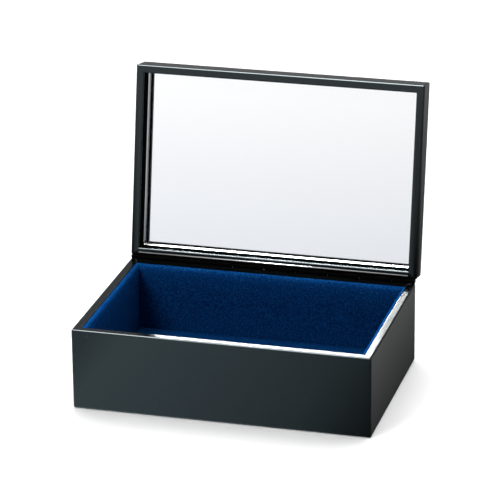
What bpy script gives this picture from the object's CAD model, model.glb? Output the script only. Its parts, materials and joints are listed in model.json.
import json
import math

import bmesh
import bpy
import numpy as np
from mathutils import Matrix, Vector


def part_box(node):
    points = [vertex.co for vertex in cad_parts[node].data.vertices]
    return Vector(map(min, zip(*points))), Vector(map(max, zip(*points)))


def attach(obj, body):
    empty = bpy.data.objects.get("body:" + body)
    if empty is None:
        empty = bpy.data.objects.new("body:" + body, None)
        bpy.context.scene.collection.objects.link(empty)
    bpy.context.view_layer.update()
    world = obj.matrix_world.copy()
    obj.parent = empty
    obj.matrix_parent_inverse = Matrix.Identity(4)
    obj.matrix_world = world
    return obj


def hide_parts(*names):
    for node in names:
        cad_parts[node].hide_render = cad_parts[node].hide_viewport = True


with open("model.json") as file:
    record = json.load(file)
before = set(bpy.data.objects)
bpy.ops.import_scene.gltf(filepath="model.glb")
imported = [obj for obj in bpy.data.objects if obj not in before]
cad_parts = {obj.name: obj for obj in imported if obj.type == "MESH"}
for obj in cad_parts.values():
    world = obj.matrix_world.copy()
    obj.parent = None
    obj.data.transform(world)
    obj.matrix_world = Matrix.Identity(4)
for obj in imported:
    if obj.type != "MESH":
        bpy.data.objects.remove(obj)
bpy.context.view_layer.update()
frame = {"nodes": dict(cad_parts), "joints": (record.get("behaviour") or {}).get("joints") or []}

# ------------------------------------------------------------------------------------------------
# Camera. It stands to the right of the front, looks down into the open box from a good way off,
# and is tilted by half a degree.
CAMERA_AZIMUTH, CAMERA_ELEVATION, CAMERA_ROLL = 15.32, 21.06, -0.57
CAMERA_DISTANCE = 1.814
CAMERA_LENS, CAMERA_SENSOR = 221.4, 36.0
CAMERA_FAR = 20.0
CAMERA_TARGET = Vector((0.0027, 0.0, 0.0860))


def outward(azimuth, elevation):
    """The unit vector from the box towards azimuth and elevation, in degrees; azimuth 0 is the front."""
    a, e = math.radians(azimuth), math.radians(elevation)
    return Vector((math.sin(a) * math.cos(e), -math.cos(a) * math.cos(e), math.sin(e)))


def looking(place, target, roll=0.0):
    """A matrix that stands at place and looks along -Z at target, turned by roll degrees."""
    back = (place - target).normalized()
    right = Vector((0, 0, 1)).cross(back).normalized()
    turn = Matrix.Rotation(math.radians(roll), 4, "Z")
    axes = Matrix((right, back.cross(right), back)).transposed().to_4x4()
    return Matrix.Translation(place) @ axes @ turn


camera = bpy.data.objects.new("camera", bpy.data.cameras.new("camera"))
bpy.context.scene.collection.objects.link(camera)
camera.data.sensor_width = CAMERA_SENSOR
camera.data.lens = CAMERA_LENS
camera.data.clip_end = CAMERA_FAR
away = outward(CAMERA_AZIMUTH, CAMERA_ELEVATION)
camera.matrix_world = looking(CAMERA_TARGET + CAMERA_DISTANCE * away, CAMERA_TARGET, CAMERA_ROLL)
bpy.context.scene.camera = camera
bpy.context.scene.view_settings.view_transform = "Standard"

# ------------------------------------------------------------------------------------------------
# Studio. A matt white sweep under the box in a pale room. A soft box in front on the left and the
# room above the back light what is matt. What shines sees a room, a floor and two cards of its own.
FLOOR_RINGS = (0.0, 0.3, 0.8, 1.60)
FLOOR_SIDES = 96
FLOOR_MIDDLE = 0.60
MERGE = 2e-7
SLIVER = 1e-8
LIGHTS_AIM = Vector((0, 0, 0.06))


def soft_box(name, azimuth, elevation, distance, size, radiance):
    """A rectangular light of the given radiance: its power is radiance times pi times its area."""
    light = bpy.data.lights.new(name, "AREA")
    light.shape = "RECTANGLE"
    light.size, light.size_y = size
    light.energy = radiance * math.pi * size[0] * size[1]
    lamp = bpy.data.objects.new(name, light)
    bpy.context.scene.collection.objects.link(lamp)
    lamp.matrix_world = looking(LIGHTS_AIM + distance * outward(azimuth, elevation), LIGHTS_AIM)
    lamp.visible_camera = False
    return lamp


soft_box("light_front_left", -27, 40, 1.30, (0.42, 0.42), 15.0).visible_glossy = False
soft_box("light_rims", -21, 40, 1.30, (0.66, 0.44), 3.6).visible_diffuse = False
soft_box("light_edges", -38, 75, 1.20, (0.80, 0.85), 30.0).visible_diffuse = False


def ramp(tree, value, low, high, stops):
    """Colours by a value that runs from low to high; stops are (value, colour)."""
    scale = tree.nodes.new("ShaderNodeMapRange")
    scale.inputs["From Min"].default_value = low
    scale.inputs["From Max"].default_value = high
    node = tree.nodes.new("ShaderNodeValToRGB")
    for _ in stops[2:]:
        node.color_ramp.elements.new(0.5)
    for element, (at, colour) in zip(node.color_ramp.elements, stops):
        element.position = (at - low) / (high - low)
        element.color = (*colour, 1)
    tree.links.new(value, scale.inputs["Value"])
    tree.links.new(scale.outputs[0], node.inputs["Fac"])
    return node.outputs["Color"]


def grey(level):
    return (level, level, level)


def mixed(tree, factor, a, b, how="MIX"):
    """A colour from a and b by a factor; each is a colour, a number or a socket."""
    mix = tree.nodes.new("ShaderNodeMix")
    mix.data_type = "RGBA"
    mix.blend_type = how
    for label, value in (("Factor", factor), ("A", a), ("B", b)):
        if isinstance(value, bpy.types.NodeSocket):
            tree.links.new(value, mix.inputs[label])
        elif label == "Factor":
            mix.inputs[label].default_value = value
        else:
            mix.inputs[label].default_value = (*value, 1)
    return mix.outputs["Result"]


def room_world():
    """Room light by direction, which differs by the kind of ray. What shines sees a pale front that
    is bluer below eye level and fades to the right, and a back that is dark grey at eye level and
    pale overhead. What is matt is lit mostly from above the back, so the floor is white and the
    inside of the box stays deep. The camera sees plain white."""
    world = bpy.data.worlds.new("room")
    bpy.context.scene.world = world
    world.use_nodes = True
    tree = world.node_tree
    where = tree.nodes.new("ShaderNodeTexCoord")
    split = tree.nodes.new("ShaderNodeSeparateXYZ")
    tree.links.new(where.outputs["Generated"], split.inputs[0])
    x, y, z = split.outputs
    front = ramp(tree, z, -0.2, 1.0, (
        (-0.10, (0.58, 0.60, 0.64)), (-0.062, (0.61, 0.63, 0.68)), (-0.03, (0.70, 0.715, 0.755)),
        (0.02, (0.86, 0.86, 0.87)), (0.30, grey(0.70)), (0.80, grey(0.85))))
    back = ramp(tree, z, -0.2, 1.0, (
        (-0.10, grey(1.0)), (-0.06, grey(0.17)), (0.05, grey(0.15)), (0.36, grey(0.18)),
        (0.60, grey(0.62)), (0.90, grey(0.85))))
    side = ramp(tree, x, -0.45, 0.25, ((-0.45, grey(1.0)), (-0.29, grey(0.95)), (-0.20, grey(0.885)),
                                      (0.25, grey(0.60))))
    facing = ramp(tree, y, -0.5, 0.5, ((-0.45, grey(0.0)), (0.2, grey(1.0))))
    shining = mixed(tree, facing, mixed(tree, 1.0, front, side, "MULTIPLY"), back)
    above = tree.nodes.new("ShaderNodeVectorMath")
    above.operation = "DOT_PRODUCT"
    above.inputs[1].default_value = (0.0, 0.50, 0.866)
    tree.links.new(where.outputs["Generated"], above.inputs[0])
    matt = ramp(tree, above.outputs["Value"], 0.0, 1.0, (
        (0.2, grey(0.03)), (0.70, grey(0.09)), (0.86, grey(0.75)), (0.97, grey(1.0))))
    path = tree.nodes.new("ShaderNodeLightPath")
    colour = mixed(tree, path.outputs["Is Diffuse Ray"], shining,
                   mixed(tree, 1.0, matt, grey(3.5), "MULTIPLY"))
    colour = mixed(tree, path.outputs["Is Camera Ray"], colour, grey(0.80))
    world.cycles.sampling_method = "NONE"
    background = tree.nodes["Background"]
    tree.links.new(colour, background.inputs["Color"])
    background.inputs["Strength"].default_value = 1.32


room_world()


def floor_paper():
    """Matt white paper. Only what shines sees it as a glowing graded card instead: bluish white on
    the left, darkest under the box's right side, and a little lighter again further right."""
    paper = bpy.data.materials.new("floor_paper")
    paper.use_nodes = True
    tree = paper.node_tree
    shader = tree.nodes["Principled BSDF"]
    shader.inputs["Roughness"].default_value = 1.0
    shader.inputs["Specular IOR Level"].default_value = 0.0
    where = tree.nodes.new("ShaderNodeTexCoord")
    split = tree.nodes.new("ShaderNodeSeparateXYZ")
    tree.links.new(where.outputs["Object"], split.inputs[0])
    graded = ramp(tree, split.outputs["X"], -0.2, 0.4, (
        (-0.115, (0.50, 0.61, 0.67)), (-0.093, (0.79, 0.96, 1.00)), (-0.06, (0.69, 0.85, 0.92)),
        (-0.02, (0.58, 0.71, 0.78)), (0.02, (0.47, 0.56, 0.62)), (0.04, (0.40, 0.48, 0.52)),
        (0.059, (0.27, 0.33, 0.36)), (0.088, grey(0.05)), (0.0955, grey(0.080)),
        (0.105, grey(0.115)), (0.122, grey(0.195)), (0.127, grey(0.065)), (0.145, grey(0.12)),
        (0.17, grey(0.155)), (0.205, grey(0.245))))
    path = tree.nodes.new("ShaderNodeLightPath")
    polish = path.outputs["Is Glossy Ray"]
    tree.links.new(mixed(tree, polish, grey(0.86), grey(0.0)), shader.inputs["Base Color"])
    tree.links.new(mixed(tree, polish, grey(0.0), graded), shader.inputs["Emission Color"])
    shader.inputs["Emission Strength"].default_value = 1.3
    return paper


def floor_disc():
    """Flat rings of quads from the middle out: x = r cos a, y = middle + r sin a."""
    turns = np.linspace(0, 2 * math.pi, FLOOR_SIDES + 1)[:-1]
    reach = np.array(FLOOR_RINGS)
    x, y = np.outer(reach, np.cos(turns)), FLOOR_MIDDLE + np.outer(reach, np.sin(turns))
    return np.stack([x, y, np.zeros_like(x)], -1)


def add_mesh(name, grids):
    """One mesh from grids of points. Each grid is (points[i, j], round_i, round_j): neighbours in i
    and j share a quad, and a round direction joins its last row to its first. Rows that fall on one
    another are merged, so a grid that shrinks to a line closes, and the faces are turned outwards."""
    corners, quads, start = [], [], 0
    for points, round_i, round_j in grids:
        n, m = points.shape[:2]
        i, j = np.meshgrid(np.arange(n - (not round_i)), np.arange(m - (not round_j)), indexing="ij")
        i1, j1 = (i + 1) % n, (j + 1) % m
        faces = np.stack([i * m + j, i1 * m + j, i1 * m + j1, i * m + j1], -1).reshape(-1, 4)
        corners.append(points.reshape(-1, 3))
        quads.append(faces + start)
        start += n * m
    corners, quads = np.concatenate(corners), np.concatenate(quads)
    mesh = bpy.data.meshes.new(name)
    mesh.from_pydata(corners, [], quads)
    tidy = bmesh.new()
    tidy.from_mesh(mesh)
    bmesh.ops.remove_doubles(tidy, verts=tidy.verts, dist=MERGE)
    bmesh.ops.dissolve_degenerate(tidy, edges=tidy.edges, dist=SLIVER)
    bmesh.ops.recalc_face_normals(tidy, faces=tidy.faces)
    tidy.to_mesh(mesh)
    tidy.free()
    mesh.shade_smooth()
    piece = bpy.data.objects.new(name, mesh)
    bpy.context.scene.collection.objects.link(piece)
    return piece


floor = add_mesh("floor", [(floor_disc(), False, True)])
floor.data.materials.append(floor_paper())

# ------------------------------------------------------------------------------------------------
# Base carcass. Four mitred boards of 5 mm wood, glued, filled and lacquered black as one, so no
# joint shows. Its rims are rubbed round, and the back rim, left matt, is rebated for the hinge.
half_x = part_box("base_right_wall")[1].x
half_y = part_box("base_back_wall")[1].y
rim_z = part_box("base_left_wall")[1].z
foot_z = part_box("base_front_wall")[0].z
wall = half_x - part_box("base_floor_board")[1].x
leaf_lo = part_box("hinge_base_leaf")[0]
leaf_reach = half_y - leaf_lo.y
leaf_level = leaf_lo.z
leaf_half = half_x - wall
REBATE_GAP = 0.0001
OUTER_ARRIS = 0.0010
INNER_ARRIS = 0.0008
FOOT_ARRIS = 0.0005
HOLD = 0.00012
FILLET = 0.00025
CORNER_STEPS = 6
HAIR = 1e-5


def arc(centre, radius, start, end, steps=6):
    """Points on a circle from start to end degrees, 0 along the first axis and 90 along the second."""
    a = np.radians(np.linspace(start, end, steps + 1))
    return np.stack([centre[0] + radius * np.cos(a), centre[1] + radius * np.sin(a)], -1)


def frame_sweep(half, corner, profile, cut=None, cut_reach=None):
    """Carries a profile of (inset, height) points round a rectangle of the given half sizes. At each
    inset the rectangle is that much smaller on every side, and its corner is an arc of radius corner
    less the inset, down to a small fillet. A second point beside each arc holds the flats flat.
    A second profile, cut, takes its place along the back between -cut_reach and +cut_reach, or along
    the whole back and round its two corners where no reach is given."""

    def place(points, sx, sy, angle, slide):
        inset, height = points[:, 0], points[:, 1]
        round_off = np.minimum(np.maximum(corner - inset, FILLET), half[1] - inset)
        cx, cy = half[0] - inset - round_off, half[1] - inset - round_off
        x = sx * (cx - np.minimum(slide[0], cx)) + round_off * math.cos(angle)
        y = sy * (cy - np.minimum(slide[1], cy)) + round_off * math.sin(angle)
        return np.stack([x, y, height], -1)

    def back_place(points, x):
        inset = points[:, 0]
        round_off = np.minimum(np.maximum(corner - inset, FILLET), half[1] - inset)
        reach = half[0] - inset - round_off
        return np.stack([np.clip(x, -reach, reach), half[1] - inset, points[:, 1]], -1)

    rings = []
    for sx, sy, first in ((1, -1, -90), (1, 1, 0), (-1, 1, 90), (-1, -1, 180)):
        angles = np.radians(np.linspace(first, first + 90, CORNER_STEPS + 1))
        along_x = first % 180 != 0
        before = (HOLD, 0.0) if along_x else (0.0, HOLD)
        after = (0.0, HOLD) if along_x else (HOLD, 0.0)
        whole_cut = cut is not None and cut_reach is None and sy > 0
        bend = cut if whole_cut else profile
        rings.append(place(bend if whole_cut and sx < 0 else profile, sx, sy, angles[0], before))
        if whole_cut and sx > 0:
            rings.append(place(profile, sx, sy, angles[0], (0.0, 0.0)))
        rings += [place(bend, sx, sy, a, (0.0, 0.0)) for a in angles]
        if whole_cut and sx < 0:
            rings.append(place(profile, sx, sy, angles[-1], (0.0, 0.0)))
        rings.append(place(bend if whole_cut and sx > 0 else profile, sx, sy, angles[-1], after))
        if first == 0 and cut_reach is not None:
            rings += [back_place(profile, cut_reach), back_place(cut, cut_reach)]
            rings += [back_place(cut, -cut_reach), back_place(profile, -cut_reach)]
    return np.stack(rings)


def carcass_profile():
    """Section of a wall as (inset, height): foot, outer face, rim and inner face."""
    r, s, f = OUTER_ARRIS, INNER_ARRIS, FOOT_ARRIS
    return np.concatenate([
        [(wall, foot_z), (f + HOLD, foot_z)],
        arc((f, foot_z + f), f, 270, 180, 3),
        [(0, foot_z + f + HOLD), (0, rim_z - r - HOLD)],
        arc((r, rim_z - r), r, 180, 90),
        [(r + HOLD, rim_z), (leaf_reach, rim_z), (leaf_reach, rim_z), (wall - s - HOLD, rim_z)],
        arc((wall - s, rim_z - s), s, 90, 0),
        [(wall, rim_z - s - HOLD)],
    ])


def rebated(profile):
    """The wall's section with its rim lowered over the leaf's width."""
    lowered = profile.copy()
    over = (profile[:, 0] < leaf_reach + 1e-9) & (profile[:, 1] > leaf_level)
    last = np.flatnonzero(over)[-1]
    over[last] = False
    lowered[over, 1] = leaf_level
    return lowered


wall_section = carcass_profile()
carcass = add_mesh("base_carcass", [
    (frame_sweep((half_x, half_y), OUTER_ARRIS, wall_section, rebated(wall_section),
                 leaf_half + REBATE_GAP), True, True)])


def node_group(name, inputs, outputs):
    """An empty shader group with named number or colour sockets."""
    group = bpy.data.node_groups.new(name, "ShaderNodeTree")
    for label, kind, value in inputs:
        socket = group.interface.new_socket(label, in_out="INPUT", socket_type="NodeSocket" + kind)
        socket.default_value = value
    for label, kind in outputs:
        group.interface.new_socket(label, in_out="OUTPUT", socket_type="NodeSocket" + kind)
    return group, group.nodes.new("NodeGroupInput"), group.nodes.new("NodeGroupOutput")


def fleck_group():
    """Flecks: a sparse mask of small soft dots, from noise raised above a level."""
    group, into, out = node_group(
        "flecks", [("Scale", "Float", 300.0), ("Level", "Float", 0.7), ("Soft", "Float", 0.05)],
        [("Mask", "Float")])
    where = group.nodes.new("ShaderNodeTexCoord")
    noise = group.nodes.new("ShaderNodeTexNoise")
    noise.inputs["Detail"].default_value = 2.0
    top = group.nodes.new("ShaderNodeMath")
    top.operation = "ADD"
    band = group.nodes.new("ShaderNodeMapRange")
    link = group.links.new
    link(where.outputs["Object"], noise.inputs["Vector"])
    link(into.outputs["Scale"], noise.inputs["Scale"])
    link(into.outputs["Level"], top.inputs[0])
    link(into.outputs["Soft"], top.inputs[1])
    link(noise.outputs["Fac"], band.inputs["Value"])
    link(into.outputs["Level"], band.inputs["From Min"])
    link(top.outputs[0], band.inputs["From Max"])
    link(band.outputs[0], out.inputs["Mask"])
    return group


flecks = fleck_group()


def use_group(tree, group, **values):
    """Places a group in a material with its own values."""
    node = tree.nodes.new("ShaderNodeGroup")
    node.node_tree = group
    for label, value in values.items():
        node.inputs[label].default_value = value
    return node


def new_material(name, **constants):
    """A Principled material whose constant sockets are set by name, with _ for each space."""
    material = bpy.data.materials.new(name)
    material.use_nodes = True
    shader = material.node_tree.nodes["Principled BSDF"]
    for label, value in constants.items():
        shader.inputs[label.replace("_", " ")].default_value = value
    return material, material.node_tree, shader


def noise_at(tree, scale, detail=3.0, stretch=None):
    """Noise on the piece's own coordinates, stretched where a stretch is given."""
    where = tree.nodes.new("ShaderNodeTexCoord")
    noise = tree.nodes.new("ShaderNodeTexNoise")
    noise.inputs["Scale"].default_value = scale
    noise.inputs["Detail"].default_value = detail
    source = where.outputs["Object"]
    if stretch is not None:
        mapping = tree.nodes.new("ShaderNodeMapping")
        mapping.inputs["Scale"].default_value = stretch
        tree.links.new(source, mapping.inputs["Vector"])
        source = mapping.outputs["Vector"]
    tree.links.new(source, noise.inputs["Vector"])
    return noise.outputs["Fac"]


def bumped(tree, shader, height, strength, distance):
    """Feeds a height into the shader's normal through a Bump node."""
    bump = tree.nodes.new("ShaderNodeBump")
    bump.inputs["Strength"].default_value = strength
    bump.inputs["Distance"].default_value = distance
    tree.links.new(height, bump.inputs["Height"])
    tree.links.new(bump.outputs["Normal"], shader.inputs["Normal"])


def ranged(tree, value, low, high):
    """A 0 to 1 value brought to between low and high."""
    scale = tree.nodes.new("ShaderNodeMapRange")
    scale.inputs["To Min"].default_value = low
    scale.inputs["To Max"].default_value = high
    tree.links.new(value, scale.inputs["Value"])
    return scale.outputs[0]


def points_of(piece):
    """The places of a piece's vertices."""
    flat = np.empty(len(piece.data.vertices) * 3, np.float32)
    piece.data.vertices.foreach_get("co", flat)
    return flat.reshape(-1, 3).astype(float)


def write_mask(piece, name, values):
    """Writes a number between 0 and 1 on each vertex, for the material to read."""
    piece.data.attributes.new(name, "FLOAT", "POINT").data.foreach_set("value", values)


def black_lacquer():
    """Blue-black lacquer, polished: a faint cloudy haze in its gloss, dust and orange peel. Where
    "matt" says so it is left unpolished and nearly dead black."""
    material, tree, shader = new_material(
        "black_lacquer", IOR=1.46, Specular_Tint=(0.84, 0.96, 1.0, 1))
    haze = noise_at(tree, 14.0)
    depth = mixed(tree, haze, (0.0016, 0.0026, 0.0028), (0.0034, 0.0052, 0.0056))
    dust = use_group(tree, flecks, Scale=420.0, Level=0.735, Soft=0.04)
    colour = mixed(tree, dust.outputs["Mask"], depth, (0.05, 0.055, 0.055))
    tree.links.new(colour, shader.inputs["Base Color"])
    matt = tree.nodes.new("ShaderNodeAttribute")
    matt.attribute_name = "matt"
    polish = ranged(tree, haze, 0.07, 0.13)
    tree.links.new(mixed(tree, matt.outputs["Fac"], polish, grey(0.9)), shader.inputs["Roughness"])
    tree.links.new(ranged(tree, matt.outputs["Fac"], 0.5, 0.0), shader.inputs["Specular IOR Level"])
    bumped(tree, shader, noise_at(tree, 260.0, 1.0), 0.03, 0.0002)
    return material


places = points_of(carcass)
write_mask(carcass, "matt", (
    (places[:, 1] > half_y - wall - HAIR) & (places[:, 2] > rim_z - INNER_ARRIS - HAIR)
    & (np.abs(places[:, 0]) < leaf_half + 2 * REBATE_GAP)).astype(float))
lacquer = black_lacquer()
carcass.data.materials.append(lacquer)
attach(carcass, "base")
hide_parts("base_front_wall", "base_right_wall", "base_back_wall", "base_left_wall")

# ------------------------------------------------------------------------------------------------
# Floor board and felt. A plywood board closes the carcass, and a thin black felt is glued under
# it, a little short of the edges.


def plywood():
    """Thin plywood: fine dark grain along the board."""
    material, tree, shader = new_material("plywood")
    grain = noise_at(tree, 90.0, 4.0, (0.15, 1.0, 1.0))
    colour = mixed(tree, grain, (0.16, 0.10, 0.055), (0.36, 0.25, 0.15))
    tree.links.new(colour, shader.inputs["Base Color"])
    tree.links.new(ranged(tree, grain, 0.55, 0.75), shader.inputs["Roughness"])
    bumped(tree, shader, grain, 0.2, 0.0002)
    return material


def finish_nodes(material, *names):
    """Gives CAD nodes that keep their shape their own material."""
    for name in names:
        materials = frame["nodes"][name].data.materials
        materials.clear()
        materials.append(material)


finish_nodes(plywood(), "base_floor_board")

felt_lo, felt_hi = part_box("base_felt")
FELT_ARRIS = 0.0002
FELT_CORNER = 0.001


def slab_profile(reach, low, high, r):
    """Section of a slab from the middle of its underside to the middle of its top, edge rounded r."""
    return np.concatenate([
        [(reach, low), (r + HOLD, low)], arc((r, low + r), r, 270, 180, 4),
        arc((r, high - r), r, 180, 90, 4), [(r + HOLD, high), (reach, high)]])


def slab(half, corner, low, high, r):
    """A flat slab with rounded edges, as a grid that closes on its middle line."""
    return frame_sweep(half, corner, slab_profile(min(half), low, high, r)), True, False


felt = add_mesh("felt_under_base", [
    slab((felt_hi.x, felt_hi.y), FELT_CORNER, felt_lo.z, felt_hi.z, FELT_ARRIS)])


def black_felt():
    """Pressed black felt: short tangled fibres, quite matt."""
    material, tree, shader = new_material(
        "black_felt", Roughness=1.0, Sheen_Weight=0.4, Sheen_Roughness=0.5)
    fibre = noise_at(tree, 1500.0, 6.0)
    colour = mixed(tree, fibre, (0.010, 0.010, 0.012), (0.045, 0.045, 0.050))
    tree.links.new(colour, shader.inputs["Base Color"])
    bumped(tree, shader, fibre, 0.6, 0.0003)
    return material


felt.data.materials.append(black_felt())
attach(felt, "base")
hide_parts("base_felt")

# ------------------------------------------------------------------------------------------------
# Lining of the walls. Four cards wrapped in blue velvet: the cloth runs up the face, over the
# card's top edge and down behind it. They are cut to a mitre and glued to the walls.
board_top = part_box("base_floor_board")[1].z
lining_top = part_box("velvet_front")[1].z
card_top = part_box("card_front")[1].z
lining = half_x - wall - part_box("velvet_right")[0].x
cloth = lining_top - card_top
card = lining - cloth
pad_lo, pad_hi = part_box("pad_velvet")
VELVET_RUNS = 160
FULLNESS = 0.0009
NOSE_HEIGHT = 0.0028
NOSE_BACK = 0.0005
NOSE_STEPS, FACE_STEPS = 12, 21
TURN_BELOW_TOP = 0.0003
UNEVEN = 0.00012
WAVES_ALONG, WAVES_UP, WAVES_START = 31, 260, 1.3


def lining_section():
    """Section of a wrapped card as (inset from the wall, height). From behind it goes over a nose,
    a quarter of an ellipse, and down the face, whose fullness fades as a smooth step to the pad."""
    full = lining + FULLNESS
    a = np.radians(np.linspace(90, 0, NOSE_STEPS + 1))
    nose = np.stack([NOSE_BACK + (full - NOSE_BACK) * np.cos(a),
                     lining_top - NOSE_HEIGHT * (1 - np.sin(a))], -1)
    z = np.linspace(nose[-1, 1], pad_hi.z, FACE_STEPS + 1)[1:]
    u = (z - pad_hi.z) / (nose[-1, 1] - pad_hi.z)
    face = np.stack([lining + FULLNESS * u * u * (3 - 2 * u), z], -1)
    return np.concatenate([
        [(0.0, card_top), (0.0, lining_top - TURN_BELOW_TOP)], nose, face,
        [(lining, board_top), (card, board_top), (card, card_top)]])


def lining_side(side, rng):
    """One wrapped card: its section runs along a wall, and each point ends on the mitre, so x runs
    from -(a - inset) to +(a - inset). The cloth lies very slightly uneven on the card."""
    a, b = (half_x - wall, half_y - wall) if side % 2 == 0 else (half_y - wall, half_x - wall)
    section = lining_section()
    t = np.linspace(-1, 1, VELVET_RUNS + 1)[:, None]
    x = t * (a - section[None, :, 0])
    along = np.sin(WAVES_ALONG * x / a + rng.uniform(0, 6))
    lift = UNEVEN * along * np.sin(WAVES_UP * section[None, :, 1] + WAVES_START)
    shown = (section[None, :, 0] > card + 1e-6) & (section[None, :, 1] > pad_hi.z)
    y = -b + section[None, :, 0] - np.abs(lift) * shown
    z = np.broadcast_to(section[None, :, 1], x.shape)
    turn = math.radians(90 * side)
    return np.stack([x * math.cos(turn) - y * math.sin(turn),
                     x * math.sin(turn) + y * math.cos(turn), z], -1)


def capped(points):
    """A run of closed sections with each end drawn in to a point, so that it is a closed solid."""
    ends = [points[:1].mean(axis=1, keepdims=True) + 0 * points[:1],
            points[-1:].mean(axis=1, keepdims=True) + 0 * points[-1:]]
    return np.concatenate([ends[0], points, ends[1]]), False, True


def pile_group():
    """Velvet pile: fine flecks of lighter and darker tufts over slow brushing marks."""
    group, into, out = node_group(
        "pile", [("Tuft Scale", "Float", 1000.0), ("Brush Scale", "Float", 45.0)],
        [("Tuft", "Float"), ("Brush", "Float")])
    where = group.nodes.new("ShaderNodeTexCoord")
    tuft = group.nodes.new("ShaderNodeTexNoise")
    tuft.inputs["Detail"].default_value = 3.0
    tuft.inputs["Roughness"].default_value = 0.65
    brush = group.nodes.new("ShaderNodeTexNoise")
    brush.inputs["Detail"].default_value = 2.0
    for noise, label in ((tuft, "Tuft Scale"), (brush, "Brush Scale")):
        group.links.new(where.outputs["Object"], noise.inputs["Vector"])
        group.links.new(into.outputs[label], noise.inputs["Scale"])
    sharpen = group.nodes.new("ShaderNodeMapRange")
    sharpen.inputs["From Min"].default_value = 0.30
    sharpen.inputs["From Max"].default_value = 0.72
    group.links.new(tuft.outputs["Fac"], sharpen.inputs["Value"])
    group.links.new(sharpen.outputs[0], out.inputs["Tuft"])
    group.links.new(brush.outputs["Fac"], out.inputs["Brush"])
    return group


pile = pile_group()


def blue_velvet():
    """Deep blue cotton velvet: a dark ground, lit tips and a cool sheen at a glance. It is
    coloured darker low on the walls than at the rim."""
    material, tree, shader = new_material(
        "blue_velvet", Roughness=0.95, Sheen_Weight=0.12, Sheen_Roughness=0.35,
        Sheen_Tint=(0.03, 0.32, 1.0, 1), Specular_IOR_Level=0.0)
    nap = use_group(tree, pile)
    ground = mixed(tree, nap.outputs["Tuft"], (0.0002, 0.0060, 0.0360), (0.0040, 0.0580, 0.2000))
    spark = use_group(tree, flecks, Scale=1200.0, Level=0.66, Soft=0.06)
    ground = mixed(tree, spark.outputs["Mask"], ground, (0.0120, 0.1100, 0.3000))
    shade = ranged(tree, nap.outputs["Brush"], 0.0, 0.4)
    ground = mixed(tree, shade, ground, (0.0010, 0.0200, 0.0950))
    where = tree.nodes.new("ShaderNodeTexCoord")
    split = tree.nodes.new("ShaderNodeSeparateXYZ")
    tree.links.new(where.outputs["Object"], split.inputs[0])
    height = ramp(tree, split.outputs["Z"], 0.030, 0.050, (
        (0.033, grey(0.55)), (0.043, grey(0.68)), (0.049, grey(1.0))))
    colour = mixed(tree, 1.0, mixed(tree, 1.0, ground, grey(2.0), "MULTIPLY"), height, "MULTIPLY")
    tree.links.new(colour, shader.inputs["Base Color"])
    bumped(tree, shader, nap.outputs["Tuft"], 0.5, 0.0003)
    return material


velvet = blue_velvet()
draw = np.random.default_rng(7)
for side, name in enumerate(("front", "right", "back", "left")):
    wrapped = add_mesh("lining_" + name, [capped(lining_side(side, draw))])
    wrapped.data.materials.append(velvet)
    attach(wrapped, "base")
    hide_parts("velvet_" + name)

# ------------------------------------------------------------------------------------------------
# Floor pad. A card with a sheet of foam on it, wrapped in the same velvet and pressed in between
# the wall linings, so its edges are rounded down and its middle is slightly crowned.
PAD_EDGE = 0.0018
PAD_CROWN = 0.0004
PAD_POINTS = (81, 61)


def pad_surface():
    """Height over the floor z = top - edge fall - crown: a cushion on a grid of x and y, closed
    below by the same grid laid flat."""
    u = np.sin(np.linspace(-math.pi / 2, math.pi / 2, PAD_POINTS[0]))
    v = np.sin(np.linspace(-math.pi / 2, math.pi / 2, PAD_POINTS[1]))
    x, y = np.meshgrid(u * pad_hi.x, v * pad_hi.y, indexing="ij")
    edge = np.minimum(pad_hi.x - np.abs(x), pad_hi.y - np.abs(y))
    fall = PAD_EDGE * (1 - np.sqrt(np.clip(1 - (1 - np.clip(edge / PAD_EDGE, 0, 1)) ** 2, 0, 1)))
    bow = PAD_CROWN * (1 - (1 - (x / pad_hi.x) ** 2) * (1 - (y / pad_hi.y) ** 2))
    top = np.stack([x, y, pad_hi.z - fall - bow], -1)
    low = np.stack([x, y, np.full_like(x, pad_lo.z)], -1)
    around = np.concatenate([top[:, 0], top[-1, 1:], top[-2::-1, -1], top[0, -2:0:-1]])
    under = around * (1, 1, 0) + (0, 0, pad_lo.z)
    skirt = np.stack([around, under], 1)
    return [(top, False, False), (low, False, False), (skirt, True, False)]


pad = add_mesh("floor_pad", pad_surface())
pad.data.materials.append(velvet)
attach(pad, "base")
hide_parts("pad_velvet")


def grey_card():
    """Grey millboard: soft mottle and a little tooth."""
    material, tree, shader = new_material("grey_card", Roughness=0.9)
    mottle = noise_at(tree, 400.0, 5.0)
    colour = mixed(tree, mottle, (0.26, 0.25, 0.22), (0.42, 0.40, 0.36))
    tree.links.new(colour, shader.inputs["Base Color"])
    bumped(tree, shader, mottle, 0.2, 0.0001)
    return material


def pale_foam():
    """Open-celled cream foam."""
    material, tree, shader = new_material("pale_foam", Roughness=1.0)
    cells = noise_at(tree, 2500.0, 2.0)
    colour = mixed(tree, cells, (0.45, 0.42, 0.32), (0.75, 0.72, 0.60))
    tree.links.new(colour, shader.inputs["Base Color"])
    bumped(tree, shader, cells, 0.8, 0.0004)
    return material


finish_nodes(grey_card(), "card_front", "card_right", "card_back", "card_left", "pad_card")
finish_nodes(pale_foam(), "pad_foam")

# ------------------------------------------------------------------------------------------------
# Lid. Four mitred rails with a thin panel over them, lacquered like the base, matt in the recess.
# The back rail is scooped out for the hinge's barrel. It is worked out shut, then swung open.
hinge = frame["joints"][0]
axis_at = np.array(hinge["pos_m"])
open_turn = math.radians(hinge["range_deg"][1])


def swung(points, angle):
    """Points turned by an angle about the hinge's axis, which lies along X."""
    y, z = points[..., 1] - axis_at[1], points[..., 2] - axis_at[2]
    c, s = math.cos(angle), math.sin(angle)
    return np.stack([points[..., 0], axis_at[1] + y * c - z * s, axis_at[2] + y * s + z * c], -1)


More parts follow.
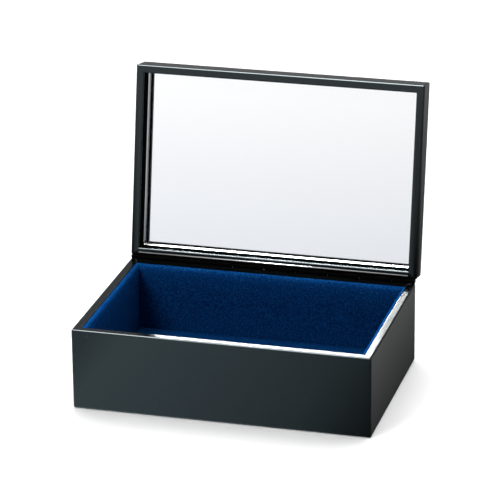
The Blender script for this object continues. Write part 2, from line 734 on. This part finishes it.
def opened(grid):
    """A grid that is worked out for the shut lid, in the place where the open lid has it."""
    points, round_i, round_j = grid
    return swung(points, -open_turn), round_i, round_j


def shut_box(node):
    """Lowest and highest corner of a lid node when the lid is shut."""
    vertices = frame["nodes"][node].data.vertices
    flat = np.empty(len(vertices) * 3, np.float32)
    vertices.foreach_get("co", flat)
    points = swung(flat.reshape(-1, 3).astype(float), open_turn)
    return Vector(points.min(0)), Vector(points.max(0))


lid_rim = shut_box("lid_front_rail")[0].z
panel_lo, panel_hi = shut_box("lid_panel")
lid_top = panel_hi.z
rail = half_x - shut_box("bead_right")[1].x
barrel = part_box("hinge_base_leaf")[1].y - axis_at[1]
SCOOP_GAP = 0.0002
SCOOP_FRONT, SCOOP_TOP = 0.001, 0.0004
TOP_ARRIS = 0.0011


def lid_profile():
    """Section of the lid as (inset, height), from the middle of the recess round the rim to the
    middle of the top. Returns it with the slice of it that the scoop replaces."""
    r, s, k = OUTER_ARRIS, INNER_ARRIS, TOP_ARRIS
    inner = np.concatenate([
        [(half_y, panel_lo.z), (rail, panel_lo.z), (rail, lid_rim + s + HOLD)],
        arc((rail - s, lid_rim + s), s, 0, -90), [(rail - s - HOLD, lid_rim)]])
    outer = np.concatenate([
        [(r + HOLD, lid_rim)], arc((r, lid_rim + r), r, 270, 180), [(0, lid_rim + r + HOLD)]])
    top = np.concatenate([
        [(0, lid_top - k - HOLD)], arc((k, lid_top - k), k, 180, 90),
        [(k + HOLD, lid_top), (half_y, lid_top)]])
    return np.concatenate([inner, outer, top]), slice(len(inner), len(inner) + len(outer))


def scooped(profile, part):
    """The lid's section with a hollow round the barrel in place of its outer arris."""
    centre = (half_y - axis_at[1], axis_at[2])
    radius = barrel + SCOOP_GAP
    at_rim = math.degrees(math.asin((lid_rim - centre[1]) / radius))
    at_back = math.degrees(math.acos(-centre[0] / radius))
    hollow = profile.copy()
    count = part.stop - part.start
    hollow[part] = arc(centre, radius, at_rim, at_back, count - 1)
    return hollow


lid_section, arris_part = lid_profile()
lid = add_mesh("lid_shell", [opened((
    frame_sweep((half_x, half_y), OUTER_ARRIS, lid_section, scooped(lid_section, arris_part)),
    True, False))])
lid.data.materials.append(lacquer)
places = swung(points_of(lid), open_turn)
inset = np.minimum(half_x - np.abs(places[:, 0]), half_y - np.abs(places[:, 1]))
write_mask(lid, "matt", (
    (inset > rail - HAIR) & (places[:, 2] > lid_rim + INNER_ARRIS + HOLD / 2)
    & (places[:, 2] < panel_lo.z + HAIR)
    | (places[:, 1] > axis_at[1] - barrel - SCOOP_FRONT)
    & (places[:, 2] < axis_at[2] + barrel + SCOOP_TOP)
).astype(float))
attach(lid, "lid")
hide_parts("lid_front_rail", "lid_right_rail", "lid_back_rail", "lid_left_rail", "lid_panel")

# ------------------------------------------------------------------------------------------------
# Mirror. Float glass with ground edges, silvered and painted on its back, held to the panel by
# strips of tape and trimmed all round by a slim quarter-round bead of bright aluminium.
glass_lo, glass_hi = shut_box("mirror_glass")
GLASS_SEAM = 0.0003
GLASS_CORNER = 0.0006
SILVER_GAP = 0.00002
glass = add_mesh("mirror_plate", [
    opened(slab((glass_hi.x, glass_hi.y), GLASS_CORNER, glass_lo.z, glass_hi.z - SILVER_GAP,
                GLASS_SEAM))])


def clear_glass():
    """Clear float glass with the faintest smear on it."""
    material, tree, shader = new_material(
        "clear_glass", Base_Color=(0.984, 0.988, 0.986, 1), IOR=1.52, Metallic=0.0,
        Transmission_Weight=1.0)
    smear = noise_at(tree, 30.0, 2.0)
    tree.links.new(ranged(tree, smear, 0.0, 0.0004), shader.inputs["Roughness"])
    return material


def silver_back():
    """Silvering: a bright mirror, very slightly uneven."""
    material, tree, shader = new_material("silver_back", Metallic=1.0)
    cloud = noise_at(tree, 8.0, 1.0)
    colour = mixed(tree, cloud, (0.955, 0.960, 0.962), (0.975, 0.978, 0.980))
    tree.links.new(colour, shader.inputs["Base Color"])
    tree.links.new(ranged(tree, cloud, 0.0, 0.0004), shader.inputs["Roughness"])
    return material


def white_tape():
    """White foam tape with a fine skin."""
    material, tree, shader = new_material("white_tape", Roughness=0.7)
    skin = noise_at(tree, 900.0, 3.0)
    colour = mixed(tree, skin, (0.62, 0.62, 0.58), (0.80, 0.80, 0.77))
    tree.links.new(colour, shader.inputs["Base Color"])
    bumped(tree, shader, skin, 0.2, 0.0001)
    return material


glass.data.materials.append(clear_glass())
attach(glass, "lid")
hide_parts("mirror_glass")
finish_nodes(silver_back(), "mirror_silvering")
finish_nodes(white_tape(), "mirror_tape")

bead_lo, bead_hi = shut_box("bead_back")
bead_w, bead_h = bead_hi.y - bead_lo.y, bead_hi.z - bead_lo.z


def bead_profile():
    """Section of the bead as (inset, height): a quarter round between the rail and the glass."""
    nose = arc((rail, bead_hi.z), 1.0, 270, 360, 8) - (rail, bead_hi.z)
    curve = np.array((rail, bead_hi.z)) + nose * (bead_w, bead_h)
    return np.concatenate([curve, [(rail, bead_hi.z)]])


def bright_aluminium():
    """Bright-dipped aluminium, with faint drawing lines."""
    material, tree, shader = new_material("bright_aluminium", Metallic=1.0)
    lines = noise_at(tree, 700.0, 3.0)
    colour = mixed(tree, lines, (0.78, 0.79, 0.80), (0.92, 0.93, 0.94))
    tree.links.new(colour, shader.inputs["Base Color"])
    tree.links.new(ranged(tree, lines, 0.10, 0.22), shader.inputs["Roughness"])
    return material


bead = add_mesh("mirror_bead", [opened((
    frame_sweep((half_x, half_y), OUTER_ARRIS, bead_profile()), True, True))])
bead.data.materials.append(bright_aluminium())
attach(bead, "lid")
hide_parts("bead_front", "bead_right", "bead_back", "bead_left")

# ------------------------------------------------------------------------------------------------
# Hinge. A black-enamelled piano hinge let in between the side rims: two leaves with knuckles that
# take turns along a blackened pin, each held by small nails. The lid leaf's front edge is bright.
KNUCKLES = 17
KNUCKLE_GAP = 0.0002
KNUCKLE_EDGE = 0.00008
BARREL_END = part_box("hinge_base_leaf")[1].x
LEAF = rim_z - leaf_level
LEAF_TAIL = 0.0012
TAIL_SINK = 0.0003
LID_PLATE_END = 0.0004
BASE_ROOT, LID_ROOT = 0.0002, 0.0010
ROOT_SKIN = 0.00002
BASE_CURL_END, LID_CURL_END = 235, 205
BORE = 0.00068
CURL_SIDES = 30


def leaf_plate(low, high, back, tail=0.0):
    """The flat of a leaf as a closed run of sections (x, y, z): a strip with a round front edge from
    y = leaf front to y = back, then a tail whose top slopes down under the other leaf's knuckles.
    Each end is drawn in to a point, which closes it."""
    r = (high - low) / 2
    nose = arc((leaf_lo.y + r, low + r), r, 270, 90, 8)
    section = np.concatenate([nose, [(leaf_lo.y + 3 * r, high), (back, high),
                                     (back + tail, high - TAIL_SINK), (back + tail, low),
                                     (leaf_lo.y + 3 * r, low)]])
    middle = section.mean(0)
    rows = []
    for x, shrink in ((-leaf_half, 1), (-leaf_half, 0), (leaf_half, 0), (leaf_half, 1)):
        ring = section + (middle - section) * shrink
        rows.append(np.column_stack([np.full(len(ring), x), ring]))
    return np.stack(rows), False, True


def curl(root_y, low, high, end, drop, inset):
    """Outer and inner path of a knuckle's curl: along the leaf to the axis, then round it to the
    angle end. Below the axis the outer path is drop high, and inset shrinks the curl all round."""
    a = np.radians(np.linspace(-90, end, CURL_SIDES))
    outer_r, inner_r = barrel - inset, BORE + inset
    tall = np.where(a < 0, drop - inset, outer_r)
    outer = np.stack([axis_at[1] + outer_r * np.cos(a), axis_at[2] + tall * np.sin(a)], -1)
    inner = np.stack([axis_at[1] + inner_r * np.cos(a), axis_at[2] + inner_r * np.sin(a)], -1)
    return (np.concatenate([[(root_y, low + inset)], outer]),
            np.concatenate([[(root_y, high - inset)], inner]))


def knuckle(x0, x1, *shape):
    """A knuckle between two places: its outer, inner, end and tip faces as closed grids."""
    full, shrunk = curl(*shape, 0.0), curl(*shape, KNUCKLE_EDGE)
    stops = ((x0, shrunk), (x0 + KNUCKLE_EDGE, full), (x1 - KNUCKLE_EDGE, full), (x1, shrunk))
    rings = []
    for x, (outer, inner) in stops:
        ring = np.concatenate([outer, inner[::-1]])
        rings.append(np.column_stack([np.full(len(ring), x), ring]))
    walls = [(np.stack(rings), False, True)]
    for x in (x0, x1):
        ends = [np.column_stack([np.full(len(path), x), path]) for path in shrunk]
        walls.append((np.stack(ends), False, False))
    return walls


pitch = 2 * leaf_half / KNUCKLES
base_grids = [leaf_plate(leaf_level, rim_z, half_y, LEAF_TAIL)]
shut_leaf_lo, shut_leaf_hi = lid_rim - LEAF, lid_rim
lid_grids = [leaf_plate(shut_leaf_lo, shut_leaf_hi, half_y - LID_PLATE_END)]
for k in range(KNUCKLES):
    left = -leaf_half + k * pitch + KNUCKLE_GAP / 2
    right = left + pitch - KNUCKLE_GAP
    if k == 0:
        left = -BARREL_END
    if k == KNUCKLES - 1:
        right = BARREL_END
    if k % 2 == 0:
        base_grids += knuckle(left, right, half_y - BASE_ROOT, leaf_level + ROOT_SKIN,
                              rim_z - ROOT_SKIN, BASE_CURL_END, axis_at[2] - leaf_level - ROOT_SKIN)
    else:
        lid_grids += knuckle(left, right, half_y - LID_ROOT, shut_leaf_lo + ROOT_SKIN,
                             shut_leaf_hi - ROOT_SKIN, LID_CURL_END, barrel)
base_leaf = add_mesh("hinge_leaf_base", base_grids)
lid_leaf = add_mesh("hinge_leaf_lid", [opened(grid) for grid in lid_grids])


def bare_edge(piece, front_y, turn):
    """Writes how bare each vertex is: 1 at the leaf's front edge, fading over its rounding."""
    shut = swung(points_of(piece), turn)
    write_mask(piece, "bare", np.clip(1.6 - (shut[:, 1] - front_y) / (0.6 * LEAF), 0, 1))


bare_edge(lid_leaf, leaf_lo.y, open_turn)


def black_enamel():
    """Thin black enamel on steel, slightly pebbled, and worn to the metal where "bare" says so."""
    material, tree, shader = new_material("black_enamel", Specular_IOR_Level=0.0)
    pebble = noise_at(tree, 1200.0, 3.0)
    edge = tree.nodes.new("ShaderNodeAttribute")
    edge.attribute_name = "bare"
    worn = edge.outputs["Fac"]
    black = mixed(tree, pebble, (0.0020, 0.0018, 0.0020), (0.0060, 0.0055, 0.0060))
    tree.links.new(mixed(tree, worn, black, (0.80, 0.80, 0.79)), shader.inputs["Base Color"])
    tree.links.new(worn, shader.inputs["Metallic"])
    rough = mixed(tree, worn, ranged(tree, pebble, 0.5, 0.62), grey(0.22))
    tree.links.new(rough, shader.inputs["Roughness"])
    bumped(tree, shader, pebble, 0.15, 0.0001)
    return material


def pin_steel():
    """Drawn steel wire, blackened in oil, with fine lines along its length."""
    material, tree, shader = new_material("pin_steel", Metallic=1.0)
    lines = noise_at(tree, 600.0, 3.0, (0.05, 1.0, 1.0))
    colour = mixed(tree, lines, (0.012, 0.012, 0.013), (0.035, 0.034, 0.036))
    tree.links.new(colour, shader.inputs["Base Color"])
    tree.links.new(ranged(tree, lines, 0.25, 0.4), shader.inputs["Roughness"])
    return material


enamel = black_enamel()
for leaf, body in ((base_leaf, "base"), (lid_leaf, "lid")):
    leaf.data.materials.append(enamel)
    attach(leaf, body)
    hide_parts("hinge_" + body + "_leaf")
finish_nodes(enamel, "hinge_base_nails", "hinge_lid_nails")
finish_nodes(pin_steel(), "hinge_pin")
